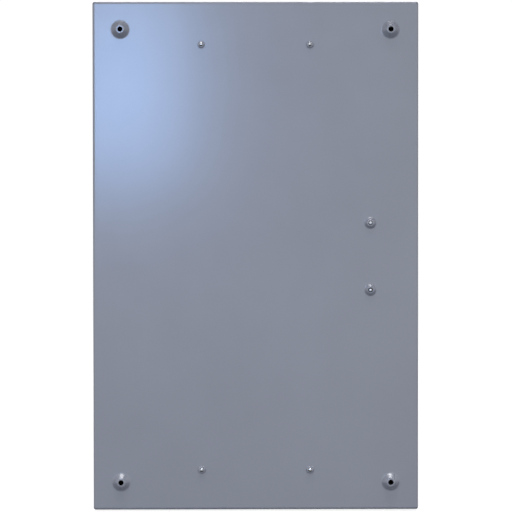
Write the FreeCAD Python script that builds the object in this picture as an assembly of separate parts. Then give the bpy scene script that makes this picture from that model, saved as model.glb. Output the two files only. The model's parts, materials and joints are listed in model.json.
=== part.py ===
"""Indoor surface-mounted residential load center, as an assembly of separate sub-parts.

Millimetres. +Z is up, the front faces -Y and the wall side faces +Y. The origin is the centre of the
four-hole wall pattern, on the plane of the mounting bosses' tops. Looking at the front, +X is to the right.
"""
import FreeCAD, Part
import os

V = FreeCAD.Vector
X_AXIS = V(1, 0, 0)
Y_AXIS = V(0, 1, 0)
Z_AXIS = V(0, 0, 1)

# Driving dimensions of the box
BOX_W = 362.0
BOX_H = 565.0
BOX_D = 98.4
SHEET = 1.5
BEND_R = 2.7
FLANGE_W = 16.0
SEAM_W = 0.5
RELIEF_R = 1.1

# Wall mounting: embossed bosses whose tops are the wall plane
BOSS_H = 5.0
BOSS_BASE_R = 9.7
BOSS_BASE_ROUND = 2.0
BOSS_TOP_R = 4.65
BOSS_TOP_ROUND = 2.0
WALL_HOLE_R = 2.95
WALL_X = 150.0
WALL_Z = 251.5

# Planes of the box, from the wall forwards
BACK_Y = -BOSS_H
INSIDE_Y = BACK_Y - SHEET
RIM_Y = BACK_Y - BOX_D
MID_DEPTH_Y = (BACK_Y + RIM_Y) / 2

# Screw shanks; a thread is a plain shank in a hole that is larger all round by the thread gap
THREAD_GAP = 0.05
PAN_SCREW_R = 2.3
GROUND_SCREW_R = 2.45
COVER_SCREW_R = 2.2
BUS_SCREW_R = 2.0
TERMINAL_SCREW_R = 1.9
BRANCH_SCREW_R = 2.2
BOND_R = 2.2
LINE_SCREW_R = 4.6
NEUTRAL_LUG_SCREW_R = 4.2

# Collars around the two kinds of screw that come through the back. The tip of the ground bar's upper screw
# fills its collar; the lower one stops short in an opened mouth.
PAN_COLLAR_R = 4.1
PAN_COLLAR_H = 2.0
PAN_TIP_H = 3.4
GROUND_COLLAR_R = 6.6
GROUND_COLLAR_TOP_R = 3.6
GROUND_COLLAR_H = 2.8
GROUND_COLLAR_ROUND = 1.0
GROUND_LOWER_TIP_H = 2.0
GROUND_UPPER_TIP_H = 3.9
GROUND_COUNTERSINK_R = 3.0
COLLAR_ROUND = 0.75

# Knockouts: hole radii of the trade sizes, and the score around each
HALF_INCH = 11.1
THREE_QUARTER = 14.1
ONE_INCH = 17.4
TWO_STEP = [HALF_INCH, THREE_QUARTER]
THREE_STEP = [HALF_INCH, THREE_QUARTER, ONE_INCH]
FEEDER_STEP = [ONE_INCH, 22.0, 25.1, 31.3]
SCORE_W = 0.7
SCORE_DEPTH = 0.9
TIE_W = 2.6
END_ROW_INNER_X = 62.0
END_ROW_MIDDLE_X = 104.0
END_ROW_OUTER_X = 146.0
END_ROW_STAGGER = 19.0
SIDE_ROW_Z = [-236.0, -188.0, 188.0, 236.0]

# Holes in the side walls for a stud beside the box
SIDE_HOLE_R = 2.6
SIDE_HOLE_Y = -22.0
SIDE_HOLE_Z = 130.0

# The interior hangs a little below the centre of the wall pattern
INTERIOR_Z = -1.5
PAN_SCREW_X = 60.3
PAN_SCREW_Z = 236.4
PAN_HALF_W = 106.0
PAN_HALF_H = 216.5
PAN_Y = -22.0
PAN_LIP = 8.0
GALV = 1.5
FOOT_W = 26.0
FOOT_PAD_END = 248.5

# Branch breakers: one space each, in two columns of rows; (first row, poles) from the top down
PITCH = 25.4
ROWS = 10
ROW_TOP = 62.0 + INTERIOR_Z
ROW_BOTTOM = ROW_TOP - ROWS * PITCH
BREAKERS = [(0, 2), (2, 1), (3, 1), (4, 1), (5, 1)]
OPEN_ROWS = [6, 7, 8, 9]
SIDES = [("left", -1), ("right", 1)]
BREAKER_IN = 3.0
BREAKER_OUT = 79.0
BREAKER_REAR_Y = -39.0
SHOULDER_Y = -88.0
NOSE_Y = -95.0
NOSE_IN = 21.6
NOSE_OUT = 64.4
BREAKER_GAP = 0.5
STEP_X = 67.0
STEP_Y = -78.0
TERMINAL_X = 72.6
TERMINAL_WELL_R = 4.3
WIRE_Y = -70.0

# Branch handles
HANDLE_X = 43.0
HANDLE_Y = -89.5
HANDLE_TILT = 20.0
HANDLE_R = 13.0
HANDLE_HALF_T = 2.6
HANDLE_HALF_W = 4.4
HUB_R = 5.4

# Rails that hold the branch breakers' outer ends
RAIL_BASE_IN = 66.0
RAIL_WALL_IN = 82.0
RAIL_TOP_Y = -46.2
HOOK_T = 1.2

# Bus
BAR_X = 24.0
BAR_W = 18.0
BAR_T = 3.0
BAR_Y = -32.5
BAR_BOTTOM = -198.0 + INTERIOR_Z
BAR_TOP = 90.0 + INTERIOR_Z
STAB_T = 2.3
STAB_HALF = 12.0
STAB_TIP_Y = -52.0
FINGER_W = 12.0
RISER_TIP_Y = -50.0
INSULATOR_HALF_W = 42.0
INSULATOR_TOP = 184.0 + INTERIOR_Z
INSULATOR_BOTTOM = -202.0 + INTERIOR_Z
BARRIER_Y = -38.6
BARRIER_T = 3.2

# Main breaker
MAIN_HALF_W = 38.0
MAIN_BOTTOM = 80.0 + INTERIOR_Z
MAIN_TOP = 178.0 + INTERIOR_Z
MAIN_REAR_Y = BAR_Y
MAIN_BODY_Y = -76.0
MAIN_NOSE_W = 22.0
MAIN_NOSE_BOTTOM = 108.0 + INTERIOR_Z
MAIN_NOSE_TOP = 152.0 + INTERIOR_Z
MAIN_HANDLE_Z = 130.0 + INTERIOR_Z
MAIN_HANDLE_Y = -87.5
MAIN_HANDLE_R = 15.2
MAIN_HUB_R = 7.0
MAIN_SLOT = 9.0
MAIN_TILT = 20.0
RISER_Z = MAIN_BOTTOM + 3.5
LUG_X = 20.0
LUG_Y = -57.0
LUG_R = 6.0
LUG_HALF_W = 11.8
LUG_BACK_Y = -44.2
LUG_FRONT_Y = -70.0
LUG_Z0 = MAIN_TOP - 26.0
LUG_Z1 = MAIN_TOP - 1.5

# Neutral and ground bars
NEUTRAL_X = 97.0
NEUTRAL_Y = -34.0
NEUTRAL_TOP = 64.0 + INTERIOR_Z
NEUTRAL_BOTTOM = -206.0 + INTERIOR_Z
NEUTRAL_W = 10.0
NEUTRAL_T = 11.0
NEUTRAL_FIRST_Z = NEUTRAL_TOP - 8.0
NEUTRAL_TERMINALS = 27
TERMINAL_PITCH = 8.5
WIRE_HOLE_R = 2.5
WIRE_HOLE_SETBACK = 0.42 * NEUTRAL_T
STRAP_T = 2.5
STRAP_Z0 = NEUTRAL_BOTTOM - 5.0
STRAP_Z1 = NEUTRAL_BOTTOM + 3.0
STANDOFF_Z = [NEUTRAL_TOP - 12.0, -70.0, NEUTRAL_BOTTOM + 24.0]
NEUTRAL_LUG_Z0 = NEUTRAL_TOP + 0.5
NEUTRAL_LUG_Z1 = NEUTRAL_TOP + 26.0
NEUTRAL_LUG_Y = NEUTRAL_Y - 12.0
NEUTRAL_LUG_BORE_R = 5.5
NEUTRAL_LUG_HALF_W = 9.5
NEUTRAL_LUG_FRONT_Y = NEUTRAL_Y - 24.0
BOND_Z = -196.0 + INTERIOR_Z
GROUND_X = -127.5
GROUND_HALF = 58.0
GROUND_SCREW_Z = 37.3
GROUND_Z = INTERIOR_Z + 1.2
GROUND_FOOT_R = 4.6
GROUND_FOOT_H = 3.0
GROUND_BACK_Y = INSIDE_Y - GROUND_FOOT_H

# Cover and inner plate
COVER_T = 1.2
COVER_GAP = 0.6
COVER_RIM = 9.0
FACE_Y = RIM_Y - COVER_T
OPEN_HALF_W = 92.0
OPEN_TOP = 172.0
OPEN_BOTTOM = -208.0
JAMB_FLANGE = 10.0
DEAD_FRONT_Y = -88.9
WINDOW_IN = 21.0
WINDOW_OUT = 65.0
COVER_SCREW_X = 172.0
COVER_SCREW_Z = 222.0

# Door, its hinge pins and the latch
DOOR_GAP = 2.2
DOOR_END_GAP = 1.5
DOOR_FACE_Y = -105.6
DOOR_RETURN = 7.0
DOOR_X0 = -OPEN_HALF_W + DOOR_GAP
DOOR_X1 = OPEN_HALF_W - DOOR_GAP
DOOR_Z0 = OPEN_BOTTOM + DOOR_END_GAP
DOOR_Z1 = OPEN_TOP - DOOR_END_GAP
HINGE_OFFSET = 4.0
HINGE_X = DOOR_X0 + HINGE_OFFSET
HINGE_Y = DOOR_FACE_Y + HINGE_OFFSET
PIN_R = 1.6
LATCH_X = 66.0
LATCH_Z = -18.0
LATCH_TRAVEL = 6.0
LATCH_PLATE_X0 = LATCH_X - 6.0
LATCH_PLATE_X1 = DOOR_X1 - COVER_T - LATCH_TRAVEL - 0.8
LATCH_PLATE_HALF_H = 11.0
BUTTON_W = 12.0
BUTTON_HALF_H = 7.0
TONGUE_HALF_H = 7.0
GUIDE_T = 1.0
GUIDE_FOOT = 6.6
TONGUE_Y0 = -101.8
TONGUE_Y1 = -99.8


def block(x0, x1, y0, y1, z0, z1):
    """Box between two corners, given in any order."""
    low = V(min(x0, x1), min(y0, y1), min(z0, z1))
    return Part.makeBox(abs(x1 - x0), abs(y1 - y0), abs(z1 - z0), low)


def rod(radius, start, along, length):
    """Cylinder from a point, along a direction."""
    return Part.makeCylinder(radius, length, start, along)


def taper(r0, r1, start, along, length):
    """Cone frustum from a point, along a direction."""
    return Part.makeCone(r0, r1, length, start, along)


def joined(first, *others):
    """One solid made of pieces that overlap or touch."""
    return first.fuse(list(others)).removeSplitter() if others else first


def without(body, *cutters):
    """Body with the cutters taken away."""
    return body.cut(list(cutters))


def mirrored(shape):
    """The same shape on the other side of the centre plane X = 0."""
    return shape.mirror(V(0, 0, 0), X_AXIS)


def edges_along(shape, axis, test):
    """Straight edges parallel to an axis whose middle point passes the test."""
    found = []
    for edge in shape.Edges:
        if len(edge.Vertexes) != 2 or not isinstance(edge.Curve, Part.Line):
            continue
        if abs(abs(edge.Curve.Direction.dot(axis)) - 1) > 1e-6:
            continue
        if test(edge.CenterOfMass):
            found.append(edge)
    return found


def rounded(shape, radius, axis, test=lambda middle: True):
    """Shape with its straight edges along an axis filleted."""
    return shape.makeFillet(radius, edges_along(shape, axis, test))


def circles(shape, radius):
    """Circular edges of a given radius."""
    round_edges = [e for e in shape.Edges if isinstance(e.Curve, Part.Circle)]
    return [e for e in round_edges if abs(e.Curve.Radius - radius) < 1e-6]


def screw(seat, inward, head_r, head_h, shank_r, shank_len, slot=1.2):
    """Slotted pan-head screw: seat is under the head, inward points down the shank."""
    outward = inward * -1
    head = rod(head_r, seat, outward, head_h)
    rim = [e for e in head.Edges if e.CenterOfMass.isEqual(seat + outward * head_h, 1e-6)]
    head = head.makeFillet(min(head_h * 0.45, head_r * 0.3), rim)
    across = Z_AXIS if abs(inward.z) < 0.5 else X_AXIS
    side = inward.cross(across)
    groove = Part.makeBox(slot, head_r * 2.4, head_h * 0.6)
    groove.translate(V(-slot / 2, -head_r * 1.2, 0))
    turn = FreeCAD.Placement(seat + outward * (head_h * 0.55), FreeCAD.Rotation(side, across, outward, "ZXY"))
    groove.Placement = turn.multiply(groove.Placement)
    tip = 0.35 * shank_r
    shank = rod(shank_r, seat, inward, shank_len - tip)
    point = taper(shank_r, shank_r - tip, seat + inward * (shank_len - tip), inward, tip)
    return joined(head.cut(groove), shank, point)


def save(name, *solids):
    """One STEP file per sub-part; identical small pieces share one file as separate solids."""
    shape = solids[0] if len(solids) == 1 else Part.makeCompound(list(solids))
    shape.exportStep("parts/%s.step" % name)


# ---------------------------------------------------------------- enclosure

def knockout(centre, inward, radii):
    """Score rings of a concentric knockout, with two uncut ties in each ring, as a list of cutters."""
    cutters = []
    start = centre - inward * 0.1
    across = Z_AXIS if abs(inward.z) < 0.5 else X_AXIS
    for number, radius in enumerate(radii):
        disc = rod(radius, start, inward, SCORE_DEPTH + 0.1)
        ring = disc.cut(rod(radius - SCORE_W, start, inward, SCORE_DEPTH + 0.1))
        tie = Part.makeBox(TIE_W, radius * 2.4, SCORE_DEPTH * 4)
        tie.translate(V(-TIE_W / 2, -radius * 1.2, -SCORE_DEPTH * 2))
        spin = FreeCAD.Rotation(Z_AXIS, 90 * (number % 2) + 20)
        lay = FreeCAD.Rotation(inward.cross(across), across, inward, "ZXY")
        tie.Placement = FreeCAD.Placement(centre, lay.multiply(spin)).multiply(tie.Placement)
        cutters.append(ring.cut(tie))
    return cutters


def end_wall_knockouts(z_wall, inward):
    """The row of knockouts in the top or bottom wall."""
    cutters = knockout(V(0, MID_DEPTH_Y, z_wall), inward, FEEDER_STEP)
    for side in (-1, 1):
        for stagger in (-END_ROW_STAGGER, END_ROW_STAGGER):
            cutters += knockout(V(side * END_ROW_INNER_X, MID_DEPTH_Y + stagger, z_wall), inward, TWO_STEP)
        cutters += knockout(V(side * END_ROW_MIDDLE_X, MID_DEPTH_Y, z_wall), inward, THREE_STEP)
        cutters += knockout(V(side * END_ROW_OUTER_X, MID_DEPTH_Y, z_wall), inward, TWO_STEP)
    return cutters


def side_wall_knockouts(x_wall, inward):
    """Knockouts near the ends of a side wall."""
    cutters = []
    for z in SIDE_ROW_Z:
        cutters += knockout(V(x_wall, MID_DEPTH_Y, z), inward, TWO_STEP)
    return cutters


def emboss(x, z, base_r, top_r, height, base_round, top_round):
    """Rounded truncated cone on the back sheet, still without its hole."""
    cone = taper(base_r, top_r, V(x, BACK_Y, z), Y_AXIS, height)
    skirt = rod(base_r + 3, V(x, BACK_Y - 1, z), Y_AXIS, 1)
    solid = cone.fuse(skirt).removeSplitter()
    solid = solid.makeFillet(base_round, circles(solid, base_r))
    return solid.makeFillet(top_round, circles(solid, top_r))


def boss(x, z):
    """Emboss that takes a wall screw."""
    return emboss(x, z, BOSS_BASE_R, BOSS_TOP_R, BOSS_H, BOSS_BASE_ROUND, BOSS_TOP_ROUND)


def ground_collar(x, z):
    """Coned collar around a ground-bar screw."""
    return emboss(x, z, GROUND_COLLAR_R, GROUND_COLLAR_TOP_R, GROUND_COLLAR_H,
                  GROUND_COLLAR_ROUND, GROUND_COLLAR_ROUND)


def boss_hollow(x, z):
    """Inside of an emboss, one sheet thickness below its outside."""
    return taper(BOSS_BASE_R - 0.3, BOSS_TOP_R - 0.4, V(x, INSIDE_Y, z), Y_AXIS, BOSS_H)


def collar(x, z, outer_r, height):
    """Extruded collar with a domed rim, which stands out of the back around a pan screw."""
    ring = rod(outer_r, V(x, BACK_Y - 0.5, z), Y_AXIS, height + 0.5)
    rim = [e for e in ring.Edges if abs(e.CenterOfMass.y - BACK_Y - height) < 1e-6]
    return ring.makeFillet(height * COLLAR_ROUND, rim)


def countersink(x, z):
    """Cutter that opens the mouth of the lower ground-bar collar."""
    mouth = V(x, BACK_Y + GROUND_COLLAR_H + 0.1, z)
    return taper(GROUND_COUNTERSINK_R, GROUND_SCREW_R, mouth, Y_AXIS * -1, 1.4)


def corner_reliefs():
    """Small round reliefs where three bends meet, at the back corners."""
    cutters = []
    for sx in (-1, 1):
        for sz in (-1, 1):
            corner = V(sx * BOX_W / 2, BACK_Y + 0.5, sz * BOX_H / 2)
            inward = V(-sx, -0.9, -sz)
            inward.normalize()
            cutters.append(rod(RELIEF_R, corner, inward, 6.5))
    return cutters


def corner_seams():
    """Open seams where the end walls butt against the side walls, backed by a welded tab inside."""
    cutters = []
    for sx in (-1, 1):
        for sz in (-1, 1):
            x = sx * (BOX_W / 2 - SHEET - 0.9)
            z = sz * BOX_H / 2
            cutters.append(block(x - SEAM_W / 2, x + SEAM_W / 2, RIM_Y - 1, BACK_Y - BEND_R, z, z - sz * 0.9))
    return cutters


def flange_mitres():
    """Gaps between the front flanges at the corners."""
    cutters = []
    for sx in (-1, 1):
        for sz in (-1, 1):
            x_in = sx * (BOX_W / 2 - FLANGE_W)
            z_in = sz * (BOX_H / 2 - FLANGE_W)
            z_out = sz * (BOX_H / 2 - SHEET - 0.5)
            cutters.append(block(x_in - sx * 1, x_in + sx * 1.5, RIM_Y - 1, RIM_Y + SHEET + 1,
                                 z_in - sz * 1, z_out))
    return cutters


def wall_hole_places():
    """Centres of the four wall-mounting holes, as (x, z)."""
    return [(sx * WALL_X, sz * WALL_Z) for sx in (-1, 1) for sz in (-1, 1)]


def pan_screw_places():
    """Centres of the four screws that hold the pan, as (x, z)."""
    return [(sx * PAN_SCREW_X, sz * PAN_SCREW_Z + INTERIOR_Z) for sx in (-1, 1) for sz in (-1, 1)]


def ground_screw_places():
    """Centres of the two screws that hold the ground bar, as (x, z), the lower one first."""
    return [(GROUND_X, sz * GROUND_SCREW_Z + GROUND_Z) for sz in (-1, 1)]


def cover_screw_places():
    """Centres of the six screws that hold the cover, as (x, z)."""
    return [(sx * COVER_SCREW_X, z) for sx in (-1, 1) for z in (-COVER_SCREW_Z, 0, COVER_SCREW_Z)]


def enclosure():
    """Folded box: back, four walls and front flanges in one sheet."""
    half_w = BOX_W / 2
    half_h = BOX_H / 2
    outer = block(-half_w, half_w, RIM_Y, BACK_Y, -half_h, half_h)
    outer = rounded(outer, BEND_R, Y_AXIS)
    back_edges = [e for e in outer.Edges if abs(e.BoundBox.YMin - BACK_Y) < 1e-6]
    outer = outer.makeFillet(BEND_R, back_edges)
    inner = block(-half_w + SHEET, half_w - SHEET, RIM_Y + SHEET, INSIDE_Y, -half_h + SHEET, half_h - SHEET)
    inner = rounded(inner, BEND_R - SHEET, Y_AXIS)
    front = block(-half_w + FLANGE_W, half_w - FLANGE_W, RIM_Y - 1, RIM_Y + SHEET + 1,
                  -half_h + FLANGE_W, half_h - FLANGE_W)
    box = without(outer, inner, front)
    adds = [boss(x, z) for x, z in wall_hole_places()]
    adds += [collar(x, z, PAN_COLLAR_R, PAN_COLLAR_H) for x, z in pan_screw_places()]
    adds += [ground_collar(x, z) for x, z in ground_screw_places()]
    box = joined(box, *adds)
    cuts = [boss_hollow(x, z) for x, z in wall_hole_places()]
    holes = [(WALL_HOLE_R, wall_hole_places()), (PAN_SCREW_R + THREAD_GAP, pan_screw_places()),
             (GROUND_SCREW_R + THREAD_GAP, ground_screw_places())]
    for radius, places in holes:
        cuts += [rod(radius, V(x, INSIDE_Y - 1, z), Y_AXIS, BOSS_H + SHEET + 2) for x, z in places]
    cuts.append(countersink(*ground_screw_places()[0]))
    flange_hole = COVER_SCREW_R + THREAD_GAP
    cuts += [rod(flange_hole, V(x, RIM_Y - 1, z), Y_AXIS, SHEET + 2) for x, z in cover_screw_places()]
    for sx in (-1, 1):
        for z in (-SIDE_HOLE_Z, SIDE_HOLE_Z):
            cuts.append(rod(SIDE_HOLE_R, V(sx * (half_w + 1), SIDE_HOLE_Y, z), X_AXIS * -sx, SHEET + 2))
        cuts += side_wall_knockouts(sx * half_w, X_AXIS * -sx)
    cuts += end_wall_knockouts(half_h, Z_AXIS * -1)
    cuts += end_wall_knockouts(-half_h, Z_AXIS)
    cuts += corner_reliefs() + corner_seams() + flange_mitres()
    return without(box, *cuts)


# ---------------------------------------------------------------- interior frame

def interior_pan():
    """Flat galvanised web with forward edge flanges and four feet down to the back of the box."""
    web = block(-PAN_HALF_W, PAN_HALF_W, PAN_Y, PAN_Y + GALV,
                -PAN_HALF_H + INTERIOR_Z, PAN_HALF_H + INTERIOR_Z)
    pieces = []
    for sx in (-1, 1):
        edge = sx * PAN_HALF_W
        pieces.append(block(edge, edge - sx * GALV, PAN_Y + GALV, PAN_Y - PAN_LIP,
                            -PAN_HALF_H + INTERIOR_Z, PAN_HALF_H + INTERIOR_Z))
        for sz in (-1, 1):
            x0 = sx * PAN_SCREW_X - FOOT_W / 2
            x1 = sx * PAN_SCREW_X + FOOT_W / 2
            end = sz * PAN_HALF_H + INTERIOR_Z
            pad_end = sz * FOOT_PAD_END + INTERIOR_Z
            pieces.append(block(x0, x1, PAN_Y, INSIDE_Y, end, end - sz * GALV))
            pieces.append(block(x0, x1, INSIDE_Y - GALV, INSIDE_Y, end - sz * GALV, pad_end))
    pan = joined(web, *pieces)
    cuts = [rod(PAN_SCREW_R + 0.3, V(x, INSIDE_Y - 5, z), Y_AXIS, 8) for x, z in pan_screw_places()]
    cuts.append(rod(BOND_R + THREAD_GAP, V(NEUTRAL_X, PAN_Y - 1, BOND_Z), Y_AXIS, 4))
    for sz in (-1, 1):
        slot_z = sz * (PAN_HALF_H - 9) + INTERIOR_Z
        cuts.append(block(-28, 28, PAN_Y - 1, PAN_Y + GALV + 1, slot_z - 4, slot_z + 4))
    return without(pan, *cuts)


def breaker_rail():
    """Formed strip on the right of the pan; its top lip hooks into the breakers' outer ends."""
    z0 = ROW_BOTTOM - 3
    z1 = ROW_TOP + 3
    base = block(RAIL_BASE_IN, RAIL_WALL_IN + GALV, PAN_Y, PAN_Y - GALV, z0, z1)
    wall = block(RAIL_WALL_IN, RAIL_WALL_IN + GALV, PAN_Y - GALV, RAIL_TOP_Y, z0, z1)
    wall = joined(base, wall)
    hooks = []
    for row in range(ROWS):
        z = row_z(row)
        hooks.append(block(BREAKER_OUT - 1, RAIL_WALL_IN + 0.5, RAIL_TOP_Y + HOOK_T, RAIL_TOP_Y,
                           z - 8, z + 8))
    gaps = []
    for row in range(ROWS + 1):
        z = ROW_TOP - row * PITCH
        gaps.append(block(RAIL_WALL_IN - 1, RAIL_WALL_IN + 3, RAIL_TOP_Y - 1, RAIL_TOP_Y + 7, z - 2, z + 2))
    return without(joined(wall, *hooks), *gaps)


def row_z(row):
    """Centre height of a breaker row."""
    return ROW_TOP - (row + 0.5) * PITCH


def bus_insulator():
    """Moulded base: channels for the two bars, and low barriers between the stabs."""
    base = block(-INSULATOR_HALF_W, INSULATOR_HALF_W, PAN_Y, BAR_Y, INSULATOR_BOTTOM, INSULATOR_TOP)
    base = rounded(base, 4, Y_AXIS)
    pieces = []
    outer = BAR_X + BAR_W / 2 + 0.4
    for sx in (-1, 1):
        pieces.append(block(sx * outer, sx * (outer + 3), BAR_Y, BARRIER_Y, BAR_BOTTOM - 1, MAIN_BOTTOM - 1))
    for row in range(ROWS + 1):
        z = ROW_TOP - row * PITCH
        pieces.append(block(-12.5, 12.5, BAR_Y, BARRIER_Y, z - BARRIER_T / 2, z + BARRIER_T / 2))
    ends = block(-outer, outer, BAR_Y, BARRIER_Y, BAR_BOTTOM - 3.2, BAR_BOTTOM - 0.4)
    solid = joined(base, ends, *pieces)
    holes = [rod(BUS_SCREW_R + THREAD_GAP, V(x, BAR_Y - 1, z), Y_AXIS, 9) for x, z in bus_screw_places()]
    return without(solid, *holes)


def bus_screw_places():
    """Centres of the screws that hold the bus bars to their insulator, as (x, z)."""
    return [(sx * BAR_X, z) for sx in (-1, 1) for z in (BAR_BOTTOM + 7, ROW_TOP + 7)]


def bus_bar(side, first_row):
    """Bar on one side of the centre line, with a finger and a forward stab at every second row."""
    y1 = BAR_Y - BAR_T
    bar = block(side * (BAR_X - BAR_W / 2), side * (BAR_X + BAR_W / 2), BAR_Y, y1, BAR_BOTTOM, BAR_TOP)
    bar = rounded(bar, 3, Y_AXIS)
    pieces = []
    for row in range(first_row, ROWS, 2):
        z = row_z(row)
        pieces.append(block(side * BAR_X, -side * STAB_HALF, BAR_Y, y1, z - FINGER_W / 2, z + FINGER_W / 2))
        stab = block(-STAB_HALF, STAB_HALF, BAR_Y, STAB_TIP_Y, z - STAB_T / 2, z + STAB_T / 2)
        pieces.append(rounded(stab, 3, Z_AXIS, lambda middle: middle.y < STAB_TIP_Y + 1))
    pieces.append(block(side * (BAR_X - 6), side * (BAR_X + 6), BAR_Y, RISER_TIP_Y,
                        RISER_Z - 1.5, RISER_Z + 1.5))
    solid = joined(bar, *pieces)
    places = [(x, z) for x, z in bus_screw_places() if x * side > 0]
    holes = [rod(BUS_SCREW_R + 0.2, V(x, BAR_Y + 2, z), Y_AXIS * -1, BAR_T + 4) for x, z in places]
    return without(solid, *holes)


# ---------------------------------------------------------------- neutral and ground

def terminal_bar(x, y_back, z0, z1, terminals):
    """Extruded bar with a wire hole across it and a clamping-screw hole from the front at each terminal."""
    bar = block(x - NEUTRAL_W / 2, x + NEUTRAL_W / 2, y_back, y_back - NEUTRAL_T, z0, z1)
    bar = rounded(bar, 1.2, Z_AXIS)
    wire_y = y_back - WIRE_HOLE_SETBACK
    cuts = []
    for z in terminals:
        cuts.append(rod(WIRE_HOLE_R, V(x - NEUTRAL_W, wire_y, z), X_AXIS, NEUTRAL_W * 2))
        cuts.append(rod(TERMINAL_SCREW_R + THREAD_GAP, V(x, wire_y, z), Y_AXIS * -1, NEUTRAL_T))
    return bar, cuts


def terminal_screws(x, y_back, terminals):
    """Headless slotted screws, one in each terminal, standing out of the bar's front."""
    screws = []
    proud = 1.0
    reach = NEUTRAL_T + proud - WIRE_HOLE_SETBACK - 0.4
    for z in terminals:
        seat = V(x, y_back - NEUTRAL_T - proud, z)
        screws.append(screw(seat, Y_AXIS, 2.9, 1.8, TERMINAL_SCREW_R, reach, 0.9))
    return screws


def neutral_terminals():
    """Heights of the terminals of a long neutral bar."""
    return [NEUTRAL_FIRST_Z - n * TERMINAL_PITCH for n in range(NEUTRAL_TERMINALS)]


def neutral_bar(side):
    """Long neutral bar beside one column; the right one takes the bonding screw at its foot."""
    bar, cuts = terminal_bar(side * NEUTRAL_X, NEUTRAL_Y, NEUTRAL_BOTTOM, NEUTRAL_TOP, neutral_terminals())
    if side > 0:
        cuts.append(rod(BOND_R + 0.2, V(NEUTRAL_X, NEUTRAL_Y + 1, BOND_Z), Y_AXIS * -1, NEUTRAL_T + 2))
    return without(bar, *cuts)


def neutral_strap():
    """Flat strap behind the feet of the two neutral bars, which joins them."""
    strap = block(-NEUTRAL_X - 4, NEUTRAL_X + 4, NEUTRAL_Y, NEUTRAL_Y + STRAP_T, STRAP_Z0, STRAP_Z1)
    return rounded(strap, 2, Y_AXIS)


def neutral_standoffs():
    """Moulded blocks that hold the neutral bars off the pan."""
    blocks = []
    for sx in (-1, 1):
        for z in STANDOFF_Z:
            x = sx * NEUTRAL_X
            piece = block(x - 7, x + 7, PAN_Y, NEUTRAL_Y, z - 8, z + 8)
            blocks.append(rounded(piece, 2, Y_AXIS))
    return blocks


def lug_block(x, y_centre, z0, z1, bore_r, half_w, y_back, y_front, screw_r):
    """Aluminium lug: a wire bore from above and a screw hole from the front."""
    solid = block(x - half_w, x + half_w, y_back, y_front, z0, z1)
    solid = rounded(solid, 2.0, Z_AXIS, lambda middle: middle.y < y_front + 1)
    bore = rod(bore_r, V(x, y_centre, z0 - 1), Z_AXIS, z1 - z0 + 2)
    hole = rod(screw_r + THREAD_GAP, V(x, y_centre, (z0 + z1) / 2), Y_AXIS * -1, 30)
    return without(solid, bore, hole)


def neutral_lug():
    """Large lug for the service neutral, on a tongue that laps over the top of the left bar."""
    lug = lug_block(-NEUTRAL_X, NEUTRAL_LUG_Y, NEUTRAL_LUG_Z0, NEUTRAL_LUG_Z1, NEUTRAL_LUG_BORE_R,
                    NEUTRAL_LUG_HALF_W, NEUTRAL_Y + 1, NEUTRAL_LUG_FRONT_Y, NEUTRAL_LUG_SCREW_R)
    tongue = block(-NEUTRAL_X - 5, -NEUTRAL_X + 5, NEUTRAL_Y + 1, NEUTRAL_Y + 3,
                   NEUTRAL_LUG_Z0, NEUTRAL_LUG_Z1)
    leg = block(-NEUTRAL_X - 5, -NEUTRAL_X + 5, NEUTRAL_Y + 3, PAN_Y, NEUTRAL_LUG_Z0, NEUTRAL_LUG_Z0 + 4)
    return joined(lug, tongue, leg)


def neutral_lug_screw():
    """Wire-binding screw of the neutral lug, clear of the bore."""
    seat = V(-NEUTRAL_X, NEUTRAL_LUG_FRONT_Y - 2, (NEUTRAL_LUG_Z0 + NEUTRAL_LUG_Z1) / 2)
    return screw(seat, Y_AXIS, 5.2, 2.4, NEUTRAL_LUG_SCREW_R, 8.0, 1.8)


def ground_terminals():
    """Terminal heights that leave the two mounting holes and their lands free."""
    heights = []
    z = GROUND_HALF - 6 + GROUND_Z
    while z > -GROUND_HALF + 5 + GROUND_Z:
        if all(abs(z - hole_z) > 7 for _, hole_z in ground_screw_places()):
            heights.append(z)
        z -= TERMINAL_PITCH
    return heights


def ground_bar():
    """Equipment ground bar on two round feet, screwed through the back of the box."""
    z0 = -GROUND_HALF + GROUND_Z
    z1 = GROUND_HALF + GROUND_Z
    bar, cuts = terminal_bar(GROUND_X, GROUND_BACK_Y, z0, z1, ground_terminals())
    places = ground_screw_places()
    feet = [rod(GROUND_FOOT_R, V(x, GROUND_BACK_Y, z), Y_AXIS, GROUND_FOOT_H) for x, z in places]
    cuts += [rod(GROUND_SCREW_R + 0.15, V(x, INSIDE_Y + 1, z), Y_AXIS * -1, 20) for x, z in places]
    return without(joined(bar, *feet), *cuts)


# ---------------------------------------------------------------- main breaker

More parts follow.
